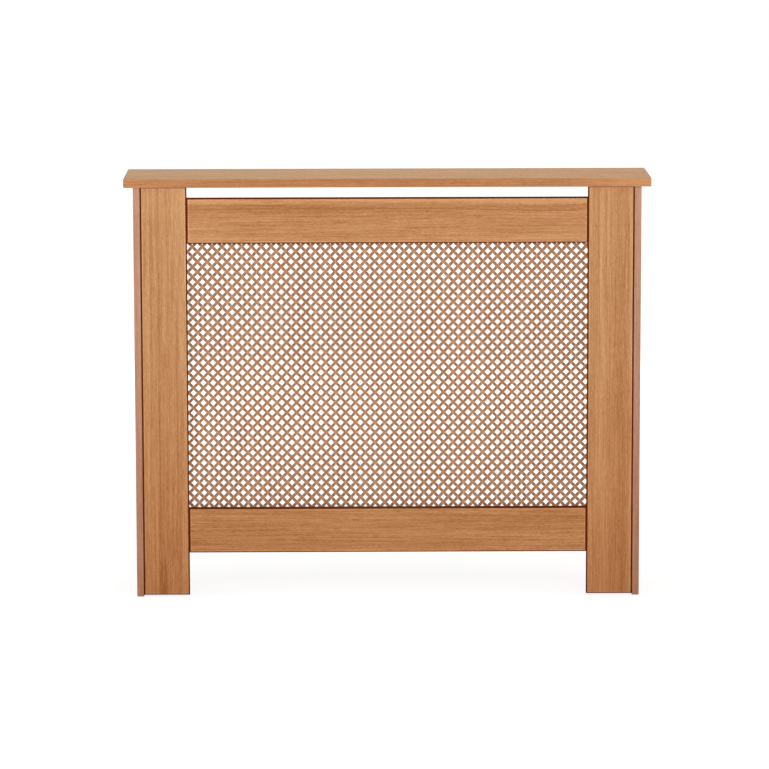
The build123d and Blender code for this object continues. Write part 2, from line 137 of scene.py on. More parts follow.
class CabinetGrille(bpy.types.PropertyGroup):
    """Pattern of the lattice grille."""

    pitch_x: length("Pitch across", "Hole to hole in a row", 20.9 * MM)
    pitch_z: length("Pitch up", "Row to the next row in line with it", 21.65 * MM)
    hole_width: length("Hole width", "Level diagonal of a diamond hole", 13.3 * MM)
    hole_height: length("Hole height", "Upright diagonal of a diamond hole", 13.8 * MM)
    side_bow: length("Side bow", "How far a hole's sides bow in at their middle", 0.25 * MM)
    # The dark rim on the face round each hole is painted shade; its slope is geometry.
    rim_width: length("Rim width", "Dark rim along a hole's sides, at their middle", 2.25 * MM)
    rim_tip: length("Rim tip", "The same rim at a hole's corners", 0.15 * MM)
    rim_sink: length("Rim sink", "How far that rim slopes in", 0.35 * MM)
    pattern_right: length("Pattern right", "A column of holes, right of the middle", 4.2 * MM)
    pattern_up: length("Pattern up", "A row of holes, above the bottom rail", 8.9 * MM)
    margin: length("Margin", "Least border outside a hole", 3.0 * MM)


class CabinetFinish(bpy.types.PropertyGroup):
    """Colours and gloss of the finishes."""

    # The low colours are darker than the high ones: painted shade towards the floor. The bottom
    # rail's colour is a darker copy of the top rail's.
    stile_high: colour("Stile, high", "Stile foil near the top board", (0.580, 0.274, 0.107))
    stile_low_painted_shade: colour("Stile, low", "Stile foil near the floor", (0.526, 0.210, 0.072))
    rail_high: colour("Top rail", "Foil of the top rail", (0.560, 0.250, 0.093))
    rail_low_painted_shade: colour("Bottom rail", "Foil of the bottom rail", (0.545, 0.238, 0.085))
    top_face: colour("Top board", "Foil of the top board's face", (0.520, 0.265, 0.096))
    front_band: colour("Front band", "Band along the top board's front", (0.515, 0.212, 0.078))
    end_band: colour("End bands", "Bands on the top board's ends", (0.350, 0.200, 0.118))
    side_band: colour("Side band", "Bands on the side panels' front edges", (0.570, 0.292, 0.175))
    # The side bands' low colour is darker: painted shade near the floor.
    side_band_low_painted_shade: colour("Side band, low", "The same near the floor", (0.475, 0.212, 0.115))
    side_face: colour("Side panel", "Foil of the side panels", (0.540, 0.265, 0.110))
    frame_edge: colour("Frame edge", "Dark bevels and edges of the frame", (0.150, 0.026, 0.001))
    core: colour("Core", "Fibreboard where an edge is bare", (0.36, 0.24, 0.13))
    backing: colour("Backing", "Plain sheet on the back of the frame", (0.42, 0.27, 0.15))
    hardboard: colour("Hardboard", "Printed face of the grille", (0.570, 0.248, 0.098))
    hardboard_back: colour("Hardboard back", "Rough back of the grille", (0.25, 0.14, 0.07))
    # The hole walls' own bare fibre colour, also used as painted shade on the face round each hole.
    punched_edge_and_rim_shade: colour("Punched edge", "Rims and walls of the holes", (0.140, 0.110, 0.085))
    cap: colour("Cover cap", "Plastic caps over the cams", (0.45, 0.22, 0.085))
    zinc: colour("Zinc plate", "Screws, washers and brackets", (0.62, 0.62, 0.60))
    cast_zinc: colour("Cast zinc", "Cam housings", (0.48, 0.48, 0.50))
    beech: colour("Beech", "Dowels", (0.68, 0.50, 0.32))
    grain: share("Grain", "Strength of the grain's light and dark", 1.0)
    foil_gloss: share("Foil roughness", "Roughness of the oak foil", 0.5)


class CabinetStage(bpy.types.PropertyGroup):
    """Camera, floor and light."""

    camera_x: length("Camera x", "Camera, to the right", -0.087)
    camera_y: length("Camera y", "Camera, in front when negative", -9.0)
    camera_z: length("Camera z", "Camera height", 1.860)
    yaw: share("Yaw", "Turn to the right, in radians", 0.0090)
    pitch: share("Pitch", "Tilt down, in radians", 0.1560)
    roll: share("Roll", "Roll, in radians", -0.0020)
    focal_pixels: share("Focal length", "In pixels of the photograph", 4237.0)
    ambient: share("Ambient", "Light from all round", 0.28)
    front_power: share("Front light", "Soft light before the cabinet, in watts", 20.0)
    top_power: share("Overhead light", "Soft light over the top board, in watts", 15.0)
    side_power: share("Side lights", "Soft light on each side, in watts", 24.0)
    back_power: share("Back light", "Soft light behind the cabinet, in watts", 33.0)
    floor_glow: share("Floor glow", "Glow of the floor near the cabinet; far off it is 1", 0.80)
    floor_near: length("Floor near", "Distance at which the floor's glow starts to grow", 0.9)
    floor_far: length("Floor far", "Distance from which the floor is white", 2.2)


# ---------------------------------------------------------------- surfaces
def straight_outline(corners):
    """Corners of a flat outline, anticlockwise, and the inward mitre at each.

    The mitre is the sum of the inward normals of the two edges that meet, divided by one plus
    their dot product, so a step along it moves both edges inwards by that step.
    """
    corners = np.asarray(corners, float)
    edge = np.roll(corners, -1, axis=0) - corners
    edge /= np.linalg.norm(edge, axis=1, keepdims=True)
    normal = np.stack([-edge[:, 1], edge[:, 0]], axis=1)
    before = np.roll(normal, 1, axis=0)
    return corners, (before + normal) / (1 + (before * normal).sum(axis=1, keepdims=True))


def rounded_outline(low, high, radius, steps=5):
    """A rectangle whose corners are quarter circles, and the inward direction at each point.

    A point is its corner's centre plus radius times (cos a, sin a), and the direction is
    minus (cos a, sin a), with a going once round.
    """
    quarter = np.linspace(0, math.pi / 2, steps)
    angle = (quarter[None] + np.arange(4)[:, None] * math.pi / 2).ravel()
    way = np.stack([np.cos(angle), np.sin(angle)], axis=1)
    low, high = np.asarray(low, float), np.asarray(high, float)
    middle, half = (low + high) / 2, (high - low) / 2 - radius
    signs = np.repeat([[1, 1], [-1, 1], [-1, -1], [1, -1]], steps, axis=0)
    return middle + signs * half + radius * way, -way


def section(stations, zones):
    """The profile of a board's edge as rows of inset, depth and zone.

    A station is (inset, depth, radius). Each inner station is a corner, replaced by a curve
    (1-s)^2 a + 2s(1-s) corner + s^2 b between the points a and b that lie one radius before
    and after it, and its zone goes evenly from that of the run before to that of the run after.
    """
    stations = np.asarray(stations, float)
    points, radii = stations[:, :2], stations[:, 2]
    s = np.linspace(0, 1, SECTION_STEPS)[:, None]
    rows = [[*points[0], zones[0]]]
    for index in range(1, len(points) - 1):
        corner, radius = points[index], radii[index]
        start = corner + radius * unit(points[index - 1] - corner)
        end = corner + radius * unit(points[index + 1] - corner)
        curve = (1 - s) ** 2 * start + 2 * s * (1 - s) * corner + s**2 * end
        zone = zones[index - 1] * (1 - s) + zones[index] * s
        rows += np.hstack([curve, zone]).tolist()
    rows.append([*points[-1], zones[-1]])
    return np.array(rows)


def unit(vector):
    """A vector of length one along the given one."""
    return vector / np.linalg.norm(vector)


def carried(outline, profile):
    """A closed board: the profile carried round the outline.

    Point (k, i) is outline point i, moved along its inward direction by the inset of profile
    row k, at that row's depth. A flat face closes the first and the last ring.
    """
    points, inward = outline
    rings, count = len(profile), len(points)
    plan = points[None] + profile[:, 0, None, None] * inward[None]
    depth = np.broadcast_to(profile[:, 1, None, None], (rings, count, 1))
    ring = np.arange(count)
    after = (ring + 1) % count
    start = np.arange(rings - 1)[:, None] * count
    quads = np.stack(
        [start + ring, start + after, start + count + after, start + count + ring], axis=-1
    )
    faces = quads.reshape(-1, 4).tolist()
    faces += [ring[::-1].tolist(), (ring + (rings - 1) * count).tolist()]
    zone = np.repeat(profile[:, 2], count)
    return np.concatenate([plan, depth], axis=2).reshape(-1, 3), faces, zone


def turned_outwards(points, faces):
    """The faces, reversed where the closed shape's signed volume is negative.

    The volume is a sixth of the sum of a . (b x c) over the triangles of each face's fan.
    """
    fans = [(face[0], face[k], face[k + 1]) for face in faces for k in range(1, len(face) - 1)]
    a, b, c = (points[np.array(corner)] for corner in zip(*fans))
    if np.einsum("ij,ij->i", a, np.cross(b, c)).sum() < 0:
        return [face[::-1] for face in faces]
    return faces


def piece(name, points, faces, zone, finish, nodes):
    """A mesh object that rides on the cabinet and stands for nodes of the frame."""
    mesh = bpy.data.meshes.new(name)
    mesh.from_pydata(np.asarray(points).tolist(), [], turned_outwards(points, faces))
    mesh.polygons.foreach_set("use_smooth", np.ones(len(mesh.polygons), bool))
    zones = mesh.attributes.new("zone", "FLOAT", "POINT")
    zones.data.foreach_set("value", np.asarray(zone, np.float32))
    mesh.materials.append(finish)
    mesh.update()
    made = bpy.data.objects.new(name, mesh)
    bpy.context.scene.collection.objects.link(made)
    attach(made, BODY)
    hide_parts(*nodes)
    return made


def node_box(node):
    """Lowest and highest corner of a frame node, as arrays."""
    low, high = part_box(node)
    return np.array(low), np.array(high)


def board(node, depth_axis, from_high, outline_of, stations, zones, finish):
    """A board in a node's place: its outline in the node's box, its profile along one axis.

    The depth of the profile is counted from the box's high side where from_high is set.
    """
    low, high = node_box(node)
    across = [axis for axis in range(3) if axis != depth_axis]
    outline = outline_of(low[across], high[across])
    plan, faces, zone = carried(outline, section(stations, zones))
    points = np.empty_like(plan)
    points[:, across] = plan[:, :2]
    start = high[depth_axis] if from_high else low[depth_axis]
    points[:, depth_axis] = start + (-plan[:, 2] if from_high else plan[:, 2])
    return piece(f"oak_{node}", points, faces, zone, finish, [node])


def square_outline(low, high):
    """The four corners of a rectangle, as a straight outline."""
    return straight_outline([low, (high[0], low[1]), high, (low[0], high[1])])


def thickness(node, axis):
    """How thick a node is along one axis."""
    low, high = node_box(node)
    return high[axis] - low[axis]


def plain_section(thick, front_arris, back_arris):
    """Face, edge and back of a board with rounded arrises."""
    return [
        (front_arris + BIG_FACE, 0, 0),
        (0, 0, front_arris),
        (0, thick, back_arris),
        (back_arris + BIG_FACE, thick, 0),
    ]


def band_section(thick, radius):
    """Face, edge and back of an edge band with a rounded outer arris."""
    return [(radius + MM, 0, 0), (0, 0, radius), (0, thick, 0.1 * MM), (radius, thick, 0)]


def bevelled_section(thick, bevel, dark_line, bevel_arris, back_arris):
    """Face, dark line, bevel, edge and back of a stile or rail."""
    border = bevel + dark_line
    return [
        (border + 2 * BIG_FACE, 0, 0),
        (border + BIG_FACE / 2, 0, BIG_FACE / 3),
        (border, 0, dark_line / 4),
        (bevel, 0, bevel_arris),
        (0, bevel, bevel_arris),
        (0, thick, back_arris),
        (back_arris + BIG_FACE, thick, 0),
    ]


# ---------------------------------------------------------------- lattice surface
def clamped_grid(low, high, base, half_pitch):
    """Places of the half-pitch lines along one axis, with the outer ones on the sheet's edges."""
    first = math.floor((low - base) / half_pitch)
    last = math.ceil((high - base) / half_pitch)
    steps = np.arange(first, last + 1)
    return steps, np.clip(base + steps * half_pitch, low, high)


def hole_ring(half_width, half_height, tip, bulge):
    """Eight points round a diamond: its corners, and the middles of its sides between them.

    A corner (w, 0), (0, h), (-w, 0) or (0, -h) is moved outwards by the tip. The middle of a
    side is moved by the bulge, at right angles to the side.
    """
    corners = np.array([(half_width, 0), (0, half_height), (-half_width, 0), (0, -half_height)])
    middles = (corners + np.roll(corners, -1, axis=0)) / 2
    square_to_side = np.array([half_height, half_width]) / math.hypot(half_width, half_height)
    middles += bulge * np.sign(middles) * square_to_side
    corners += tip * np.sign(corners)
    return np.stack([corners, middles], axis=1).reshape(8, 2)


def lattice_surface(sizes):
    """The grille: a plane of diamond cells, each with a hole that goes through it.

    Lines at half the pitch make a grid. Points with an odd sum of column and row are where the
    strips cross, and are the corners of the cells. Points with an even sum are the cells'
    middles. A cell whose hole would lie too near to the sheet's edge stays whole.
    """
    low, high = node_box("lattice_grille")
    rail_top = node_box("bottom_rail")[1][2]
    columns, xs = clamped_grid(low[0], high[0], sizes.pattern_right, sizes.pitch_x / 2)
    rows, zs = clamped_grid(low[2], high[2], rail_top + sizes.pattern_up, sizes.pitch_z / 2)
    wide, tall = len(columns), len(rows)
    grid = np.stack(np.meshgrid(xs, zs), axis=-1).reshape(-1, 2)

    row, column = np.meshgrid(np.arange(tall), np.arange(wide), indexing="ij")
    middle = (columns[column] + rows[row]) % 2 == 0
    row, column = row[middle], column[middle]

    def grid_id(column_step, row_step):
        across = np.clip(column + column_step, 0, wide - 1)
        return np.clip(row + row_step, 0, tall - 1) * wide + across

    corners = np.stack([grid_id(1, 0), grid_id(0, 1), grid_id(-1, 0), grid_id(0, -1)], axis=1)
    centre = grid[grid_id(0, 0)]
    room = np.array([sizes.hole_width, sizes.hole_height]) / 2 + sizes.margin
    holed = np.all((centre - room >= low[[0, 2]]) & (centre + room <= high[[0, 2]]), axis=1)

    rings = [
        (sizes.rim_tip, sizes.rim_width, 0, FACE),
        (sizes.rim_tip * 0.7, sizes.rim_width * 0.75, sizes.rim_sink * 0.2, CORE),
        (0, -sizes.side_bow, sizes.rim_sink, CORE),
        (0, -sizes.side_bow, high[1] - low[1], CORE),
    ]
    half = (sizes.hole_width / 2, sizes.hole_height / 2)
    flat = [np.c_[grid, np.zeros(len(grid))], np.c_[grid, np.full(len(grid), high[1] - low[1])]]
    zone = [np.full(len(grid), FACE), np.full(len(grid), BACK)]
    for tip, bulge, depth, ring_zone in rings:
        ring = centre[holed][:, None] + hole_ring(*half, tip, bulge)[None]
        ring = ring.reshape(-1, 2)
        flat.append(np.c_[ring, np.full(len(ring), depth)])
        zone.append(np.full(len(ring), ring_zone))
    plan = np.concatenate(flat)
    zone = np.concatenate(zone)

    hole_count = int(holed.sum())
    ring_start = 2 * len(grid) + np.arange(len(rings))[:, None] * hole_count * 8
    ring_ids = ring_start[:, :, None] + np.arange(hole_count * 8).reshape(hole_count, 8)
    faces = []
    for side, ring in ((0, ring_ids[0]), (len(grid), ring_ids[-1])):
        outer = corners + side
        faces += [list(dict.fromkeys(cell)) for cell in outer[~holed].tolist()]
        faces += rim_faces(outer[holed], ring)
    for upper, lower in zip(ring_ids, ring_ids[1:]):
        wall = [lower, np.roll(lower, -1, axis=1), np.roll(upper, -1, axis=1), upper]
        faces += np.stack(wall, axis=-1).reshape(-1, 4).tolist()
    faces += border_walls(wide, tall)
    faces = facing_alike(faces, plan, len(grid))

    every_corner = np.concatenate([np.array(face) for face in faces])
    used, compact = np.unique(every_corner, return_inverse=True)
    ends = np.cumsum([len(face) for face in faces])[:-1]
    faces = [part.tolist() for part in np.split(compact, ends)]
    points = np.stack([plan[used, 0], low[1] + plan[used, 2], plan[used, 1]], axis=1)
    return points, faces, zone[used]


def rim_faces(outer, ring):
    """Faces between a cell's four corners and its hole's eight points.

    Along each side lie three triangles: one on the cell's own side, and one from each of its
    two corners to the hole.
    """
    following = np.roll(outer, -1, axis=1)
    tip, middle = ring[:, 0::2], ring[:, 1::2]
    next_tip = np.roll(tip, -1, axis=1)
    triangles = [(outer, following, middle), (outer, middle, tip), (following, next_tip, middle)]
    return np.concatenate([np.stack(three, axis=-1).reshape(-1, 3) for three in triangles]).tolist()


def border_walls(wide, tall):
    """The four edges of the sheet, between the front grid and the back grid."""
    ids = np.arange(wide * tall).reshape(tall, wide)
    loop = np.concatenate([ids[0, :-1], ids[:-1, -1], ids[-1, :0:-1], ids[:0:-1, 0]])
    after = np.roll(loop, -1)
    back = wide * tall
    return np.stack([loop, after, after + back, loop + back], axis=1).tolist()


def facing_alike(faces, plan, grid_count):
    """Reverses the back faces, so that all faces of the sheet turn the same way round."""
    turned = []
    for face in faces:
        depths = plan[face, 2]
        on_back = depths.min() == depths.max() and face[0] >= grid_count
        turned.append(face[::-1] if on_back else face)
    return turned


# ---------------------------------------------------------------- finishes
class Nodes:
    """A node tree that is built from empty. Each method adds a node and returns its output."""

    def __init__(self, owner, out_kind):
        owner.use_nodes = True
        self.tree = owner.node_tree
        self.tree.nodes.clear()
        self.out = self.tree.nodes.new(out_kind)

    def add(self, kind, inputs=(), **settings):
        """A node with its settings, and with its inputs set or linked by name or number."""
        node = self.tree.nodes.new(kind)
        for key, value in settings.items():
            setattr(node, key, value)
        for key, value in dict(inputs).items():
            if isinstance(value, bpy.types.NodeSocket):
                self.tree.links.new(value, node.inputs[key])
            elif value is not None:
                node.inputs[key].default_value = value
        return node

    def maths(self, operation, first, second=None, third=None):
        """One sum on numbers."""
        inputs = {0: first, 1: second, 2: third}
        return self.add("ShaderNodeMath", inputs, operation=operation).outputs[0]

    def seen_by_eye(self):
        """One for rays that show a surface or its mirror image, and nought for rays of light."""
        path = self.add("ShaderNodeLightPath").outputs
        seen = self.maths("MAXIMUM", path["Is Camera Ray"], path["Is Glossy Ray"])
        return self.maths("MAXIMUM", seen, path["Is Transmission Ray"])

    def ends_in(self, shader):
        """Links the last shader to the output."""
        self.tree.links.new(shader, self.out.inputs[0])


class Finish(Nodes):
    """The node tree of one material."""

    def __init__(self, name):
        self.material = bpy.data.materials.new(name)
        super().__init__(self.material, "ShaderNodeOutputMaterial")

    def place(self):
        """Where a point of the surface lies, in metres."""
        return self.add("ShaderNodeTexCoord").outputs["Object"]

    def stretched(self, vector, scale, shift=(0, 0, 0)):
        """A place, scaled along each axis and then shifted."""
        inputs = {"Vector": vector, "Scale": scale, "Location": shift}
        return self.add("ShaderNodeMapping", inputs).outputs[0]

    def noise(self, vector, detail=2.0, roughness=0.5):
        """Soft random values about one half, one unit across."""
        inputs = {"Vector": vector, "Scale": 1.0, "Detail": detail, "Roughness": roughness}
        return self.add("ShaderNodeTexNoise", inputs).outputs[0]

    def eased(self, value, start, end, low=0.0, high=1.0):
        """A smooth step of a value: low up to start, high from end."""
        inputs = {"Value": value, "From Min": start, "From Max": end, "To Min": low, "To Max": high}
        node = self.add("ShaderNodeMapRange", inputs, interpolation_type="SMOOTHSTEP")
        return node.outputs[0]

    def mixed(self, share_of_second, first, second, blend="MIX"):
        """Two colours mixed."""
        inputs = {0: share_of_second, 6: opaque(first), 7: opaque(second)}
        return self.add("ShaderNodeMix", inputs, data_type="RGBA", blend_type=blend).outputs[2]

    def zone(self):
        """The piece's own zone: face, edge or back."""
        return self.add("ShaderNodeAttribute", attribute_name="zone").outputs["Fac"]

    def bump(self, height, distance, strength):
        """A normal that follows a height."""
        inputs = {"Height": height, "Distance": distance, "Strength": strength}
        return self.add("ShaderNodeBump", inputs).outputs[0]

    def surface(self, **inputs):
        """The shader that all this ends in."""
        names = {
            key.replace("_", " ").title().replace("Ior", "IOR"): value
            for key, value in inputs.items()
        }
        self.ends_in(self.add("ShaderNodeBsdfPrincipled", names).outputs[0])
        return self.material


def opaque(value):
    """A colour with full alpha, or a socket as it is."""
    return value if isinstance(value, bpy.types.NodeSocket) else (*value[:3], 1.0)


def darker(value, factor):
    """A colour times a factor."""
    return tuple(channel * factor for channel in value[:3])


def grain_scale(along, across_scale, along_scale):
    """Scales for a pattern that runs along one axis."""
    scale = [across_scale] * 3
    scale[AXES[along]] = along_scale
    return scale


def oak_tone(finish, along, seed, grain=1.0, figure=None, bands=()):
    """Light and dark of oak about one half, and its pores.

    Noises that are stretched along the grain are added, each with its own width, length and
    share: broad bands, growth lines, short streaks and fibres. Short thin dashes are the
    pores. A figure adds arched growth lines, and each of the bands a pale or a dark streak.
    A pale stretch across the top of a stile or a side band is painted light.
    """
    shift = (seed * 1.7, seed * 2.3, seed * 3.1)
    start = finish.place()
    drift_scale = grain_scale(along, *OAK_DRIFT_CELLS)
    drift = finish.noise(finish.stretched(start, drift_scale, shift), 1.0)
    drift = finish.maths("MULTIPLY_ADD", drift, OAK_DRIFT, -OAK_DRIFT / 2)
    moved = finish.add("ShaderNodeVectorMath", {0: start, 1: drift}, operation="ADD").outputs[0]
    tone = None
    for across, length_scale, weight in OAK_GRAIN:
        layer = finish.stretched(moved, grain_scale(along, across, length_scale), shift)
        layer = finish.noise(layer, 1.0)
        offset = 0.5 - weight * grain / 2 if tone is None else tone
        if tone is not None:
            layer = finish.maths("SUBTRACT", layer, 0.5)
        tone = finish.maths("MULTIPLY_ADD", layer, weight * grain, offset)
    pore_scale = grain_scale(along, *PORE_CELLS)
    pores = finish.noise(finish.stretched(moved, pore_scale, shift), 1.0)
    pores = finish.eased(pores, *PORE_EDGE)
    if figure:
        tone = finish.maths("SUBTRACT", tone, arched_lines(finish, moved, along, **figure))
    for band in bands:
        tone = finish.maths("ADD", tone, streak(finish, moved, *band))
    return tone, pores


def oak_shade(finish, tone, pores, middle):
    """A middle colour made darker and yellower, or lighter and paler, by the tone."""
    tone = finish.add("ShaderNodeClamp", {0: tone}).outputs[0]
    shade = finish.mixed(tone, OAK_DARK, OAK_LIGHT)
    wood = finish.mixed(1.0, middle, shade, "MULTIPLY")
    return finish.mixed(finish.maths("MULTIPLY", pores, PORE_SHARE), wood, PORE)


def oak_relief(finish, tone, pores):
    """A normal that follows the pressed grain: light grain stands up and pores lie in."""
    height = finish.maths("SUBTRACT", finish.maths("MULTIPLY", tone, 0.4), pores)
    return finish.bump(height, *OAK_RELIEF)


def streak(finish, place, axis, centre, half_width, strength):
    """A broad streak: its strength at the centre, and nought from its half width on."""
    parts = finish.add("ShaderNodeSeparateXYZ", {0: place}).outputs
    away = finish.maths("ABSOLUTE", finish.maths("SUBTRACT", parts[AXES[axis]], centre))
    return finish.eased(away, 0.0, half_width, strength, 0.0)


def arched_lines(finish, place, along, across, centre, start, curve, spacing, strength, reach):
    """Arched growth lines of a board cut beside the heart.

    Their contours are curve * a^2 + g over the spacing, with a across the board from the
    centre and g along it from the start. They fade out a reach beyond the start, and between
    two lines half of the strength stays.
    """
    parts = finish.add("ShaderNodeSeparateXYZ", {0: place}).outputs
    a = finish.maths("SUBTRACT", parts[AXES[across]], centre)
    g = finish.maths("SUBTRACT", parts[AXES[along]], start)
    arch = finish.maths("MULTIPLY_ADD", finish.maths("MULTIPLY", a, a), curve, g)
    wave = finish.maths("SINE", finish.maths("MULTIPLY", arch, 2 * math.pi / spacing))
    line = finish.eased(wave, -1.0, 1.0, 0.5, 1.0)
    fade = finish.eased(arch, 0.0, reach, 1.0, 0.0)
    return finish.maths("MULTIPLY", finish.maths("MULTIPLY", line, fade), strength)


def oak_foil(name, along, seed, high, low, edge, back, gloss, grain=1.0, figure=None, bands=()):
    """Oak-effect foil on a board, with its own edge and back.

    The colour goes from low near the floor to high near the top board: painted shade, darker
    towards the floor. Beside a bevel, where the zone is below nought, a highlight is painted and
    the foil turns a little paler.
    """
    finish = Finish(name)
    tone, pores = oak_tone(finish, along, seed, grain, figure, bands)
    height = finish.add("ShaderNodeSeparateXYZ", {0: finish.place()}).outputs[2]
    # Painted shade: the colour darkens from high to low towards the floor.
    middle = finish.mixed(finish.eased(height, -0.1, 0.75), low, high)
    wood = oak_shade(finish, tone, pores, middle)
    zone = finish.zone()
    # Painted highlight: the face turns paler along the arris beside its bevel.
    painted_highlight = finish.eased(zone, PAINTED_HIGHLIGHT_ZONE, 0.0, PAINTED_HIGHLIGHT_SHARE, 0.0)
    wood = finish.mixed(painted_highlight, wood, finish.mixed(1.0, wood, OAK_PAINTED_HIGHLIGHT, "MULTIPLY"))
    bare = finish.eased(zone, *FACE_TO_CORE)
    face = finish.mixed(bare, wood, edge_tone(finish, edge))
    face = finish.mixed(finish.eased(zone, *CORE_TO_BACK), face, back_tone(finish, back))
    rough = finish.maths("MULTIPLY_ADD", tone, 0.10, gloss - 0.05)
    rough = finish.maths("MULTIPLY_ADD", bare, 0.35, rough)
    return finish.surface(
        base_color=face,
        roughness=rough,
        specular_ior_level=OAK_SPECULAR,
        normal=oak_relief(finish, tone, pores),
    )


def edge_tone(finish, value):
    """A board's edge: its colour with fine flecks of fibre."""
    fleck = finish.noise(finish.stretched(finish.place(), (700.0, 700.0, 700.0)), 2.0)
    return finish.mixed(finish.eased(fleck, 0.35, 0.7), darker(value, 0.82), darker(value, 1.15))


def back_tone(finish, value):
    """The plain sheet on a board's back: a soft mottle."""
    mottle = finish.noise(finish.stretched(finish.place(), (45.0, 45.0, 45.0)), 4.0, 0.65)
    return finish.mixed(finish.eased(mottle, 0.3, 0.7), darker(value, 0.9), darker(value, 1.06))


def hardboard(name, colours):
    """Perforated hardboard: a printed oak face, bare fibre in the hole walls, a dark rim of painted
    shade round each hole, and a mesh-marked back.
    """
    finish = Finish(name)
    tone, pores = oak_tone(finish, "Z", 5.0, 1.2 * colours.grain)
    wood = oak_shade(finish, tone, pores, colours.hardboard)
    mesh = finish.add(
        "ShaderNodeTexChecker",
        {"Vector": finish.stretched(finish.place(), (600.0, 1.0, 600.0)), "Scale": 1.0},
    ).outputs[1]
    rough_back = colours.hardboard_back
    back = finish.mixed(mesh, darker(rough_back, 0.8), darker(rough_back, 1.1))
    zone = finish.zone()
    # Dark rim on the face: painted shade; in the hole walls: bare fibre.
    rim = edge_tone(finish, colours.punched_edge_and_rim_shade)
    face = finish.mixed(finish.eased(zone, 0.25, 0.7), wood, rim)
    face = finish.mixed(finish.eased(zone, *CORE_TO_BACK), face, back)
    return finish.surface(
        base_color=face,
        roughness=0.6,
        specular_ior_level=OAK_SPECULAR,
        normal=oak_relief(finish, tone, pores),
    )


def plated_steel(name, value, roughness, scratch):
    """Zinc plate: a cloudy metal with fine scratches."""
    finish = Finish(name)
    cloud = finish.noise(finish.stretched(finish.place(), (120.0, 120.0, 120.0)), 3.0, 0.6)
    fine = finish.noise(finish.stretched(finish.place(), (2500.0, 400.0, 2500.0)), 2.0)
    face = finish.mixed(finish.eased(cloud, 0.3, 0.7), darker(value, 0.82), darker(value, 1.08))
    rough = finish.maths("MULTIPLY_ADD", cloud, 0.22, roughness - 0.11)
    return finish.surface(
        base_color=face, metallic=1.0, roughness=rough, normal=finish.bump(fine, scratch, 0.4)
    )


def moulded_plastic(name, value):
    """Moulded plastic: even colour with a fine grain."""
    finish = Finish(name)
    speck = finish.noise(finish.stretched(finish.place(), (1800.0, 1800.0, 1800.0)), 2.0)
    face = finish.mixed(speck, darker(value, 0.93), darker(value, 1.06))
    return finish.surface(base_color=face, roughness=0.5, normal=finish.bump(speck, 0.00005, 0.4))


def beech(name, value):
    """Plain beech: pale, with short dark flecks along a dowel."""
    finish = Finish(name)
    lines = finish.noise(finish.stretched(finish.place(), (300.0, 900.0, 900.0)), 3.0)
    fleck = finish.noise(finish.stretched(finish.place(), (500.0, 1500.0, 1500.0)), 1.0)
    face = finish.mixed(lines, darker(value, 0.85), darker(value, 1.1))
    face = finish.mixed(finish.eased(fleck, 0.62, 0.7, 0.0, 0.5), face, darker(value, 0.5))
    return finish.surface(base_color=face, roughness=0.6, normal=finish.bump(lines, 0.00005, 0.5))


def paint_shade_on_inner_arris(made, radius):
    """Paints shade on a side band's inner arris, from where it starts to turn, in the frame's dark
    edge colour.
    """
    count = len(made.data.vertices)
    points = np.empty(count * 3, np.float32)
    made.data.vertices.foreach_get("co", points)
    points = points.reshape(-1, 3)
    inner = np.abs(points[:, 0]).min()
    turned = points[:, 1] > points[:, 1].min() + 0.02 * radius
    zone = np.where((np.abs(points[:, 0]) < inner + radius) & turned, CORE, FACE)
    made.data.attributes["zone"].data.foreach_set("value", zone.astype(np.float32))


def dress(nodes, finish):
    """Gives frame nodes their finish."""
    for name in nodes:
        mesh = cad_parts[name].data
        mesh.materials.clear()
        mesh.materials.append(finish)


# ---------------------------------------------------------------- operators
class CABINET_OT_top_board(bpy.types.Operator):
    """Top board: oak foil above and below, bare fibreboard at the wall"""

    bl_idname = "cabinet.top_board"
    bl_label = "Top board"

    def execute(self, context):
        sizes, tones = context.scene.cabinet_boards, context.scene.cabinet_finish
        arris = sizes.board_arris
        finish = oak_foil(
            "oak_foil_top", "X", 1.0, tones.top_face, tones.top_face, tones.core, tones.top_face,
            tones.foil_gloss + 0.1, 1.5 * tones.grain,
        )
        stations = plain_section(thickness("top_board", 2), arris, arris)
        zones = (FACE, CORE, FACE)
        board("top_board", 2, True, square_outline, stations, zones, finish)
        return {"FINISHED"}


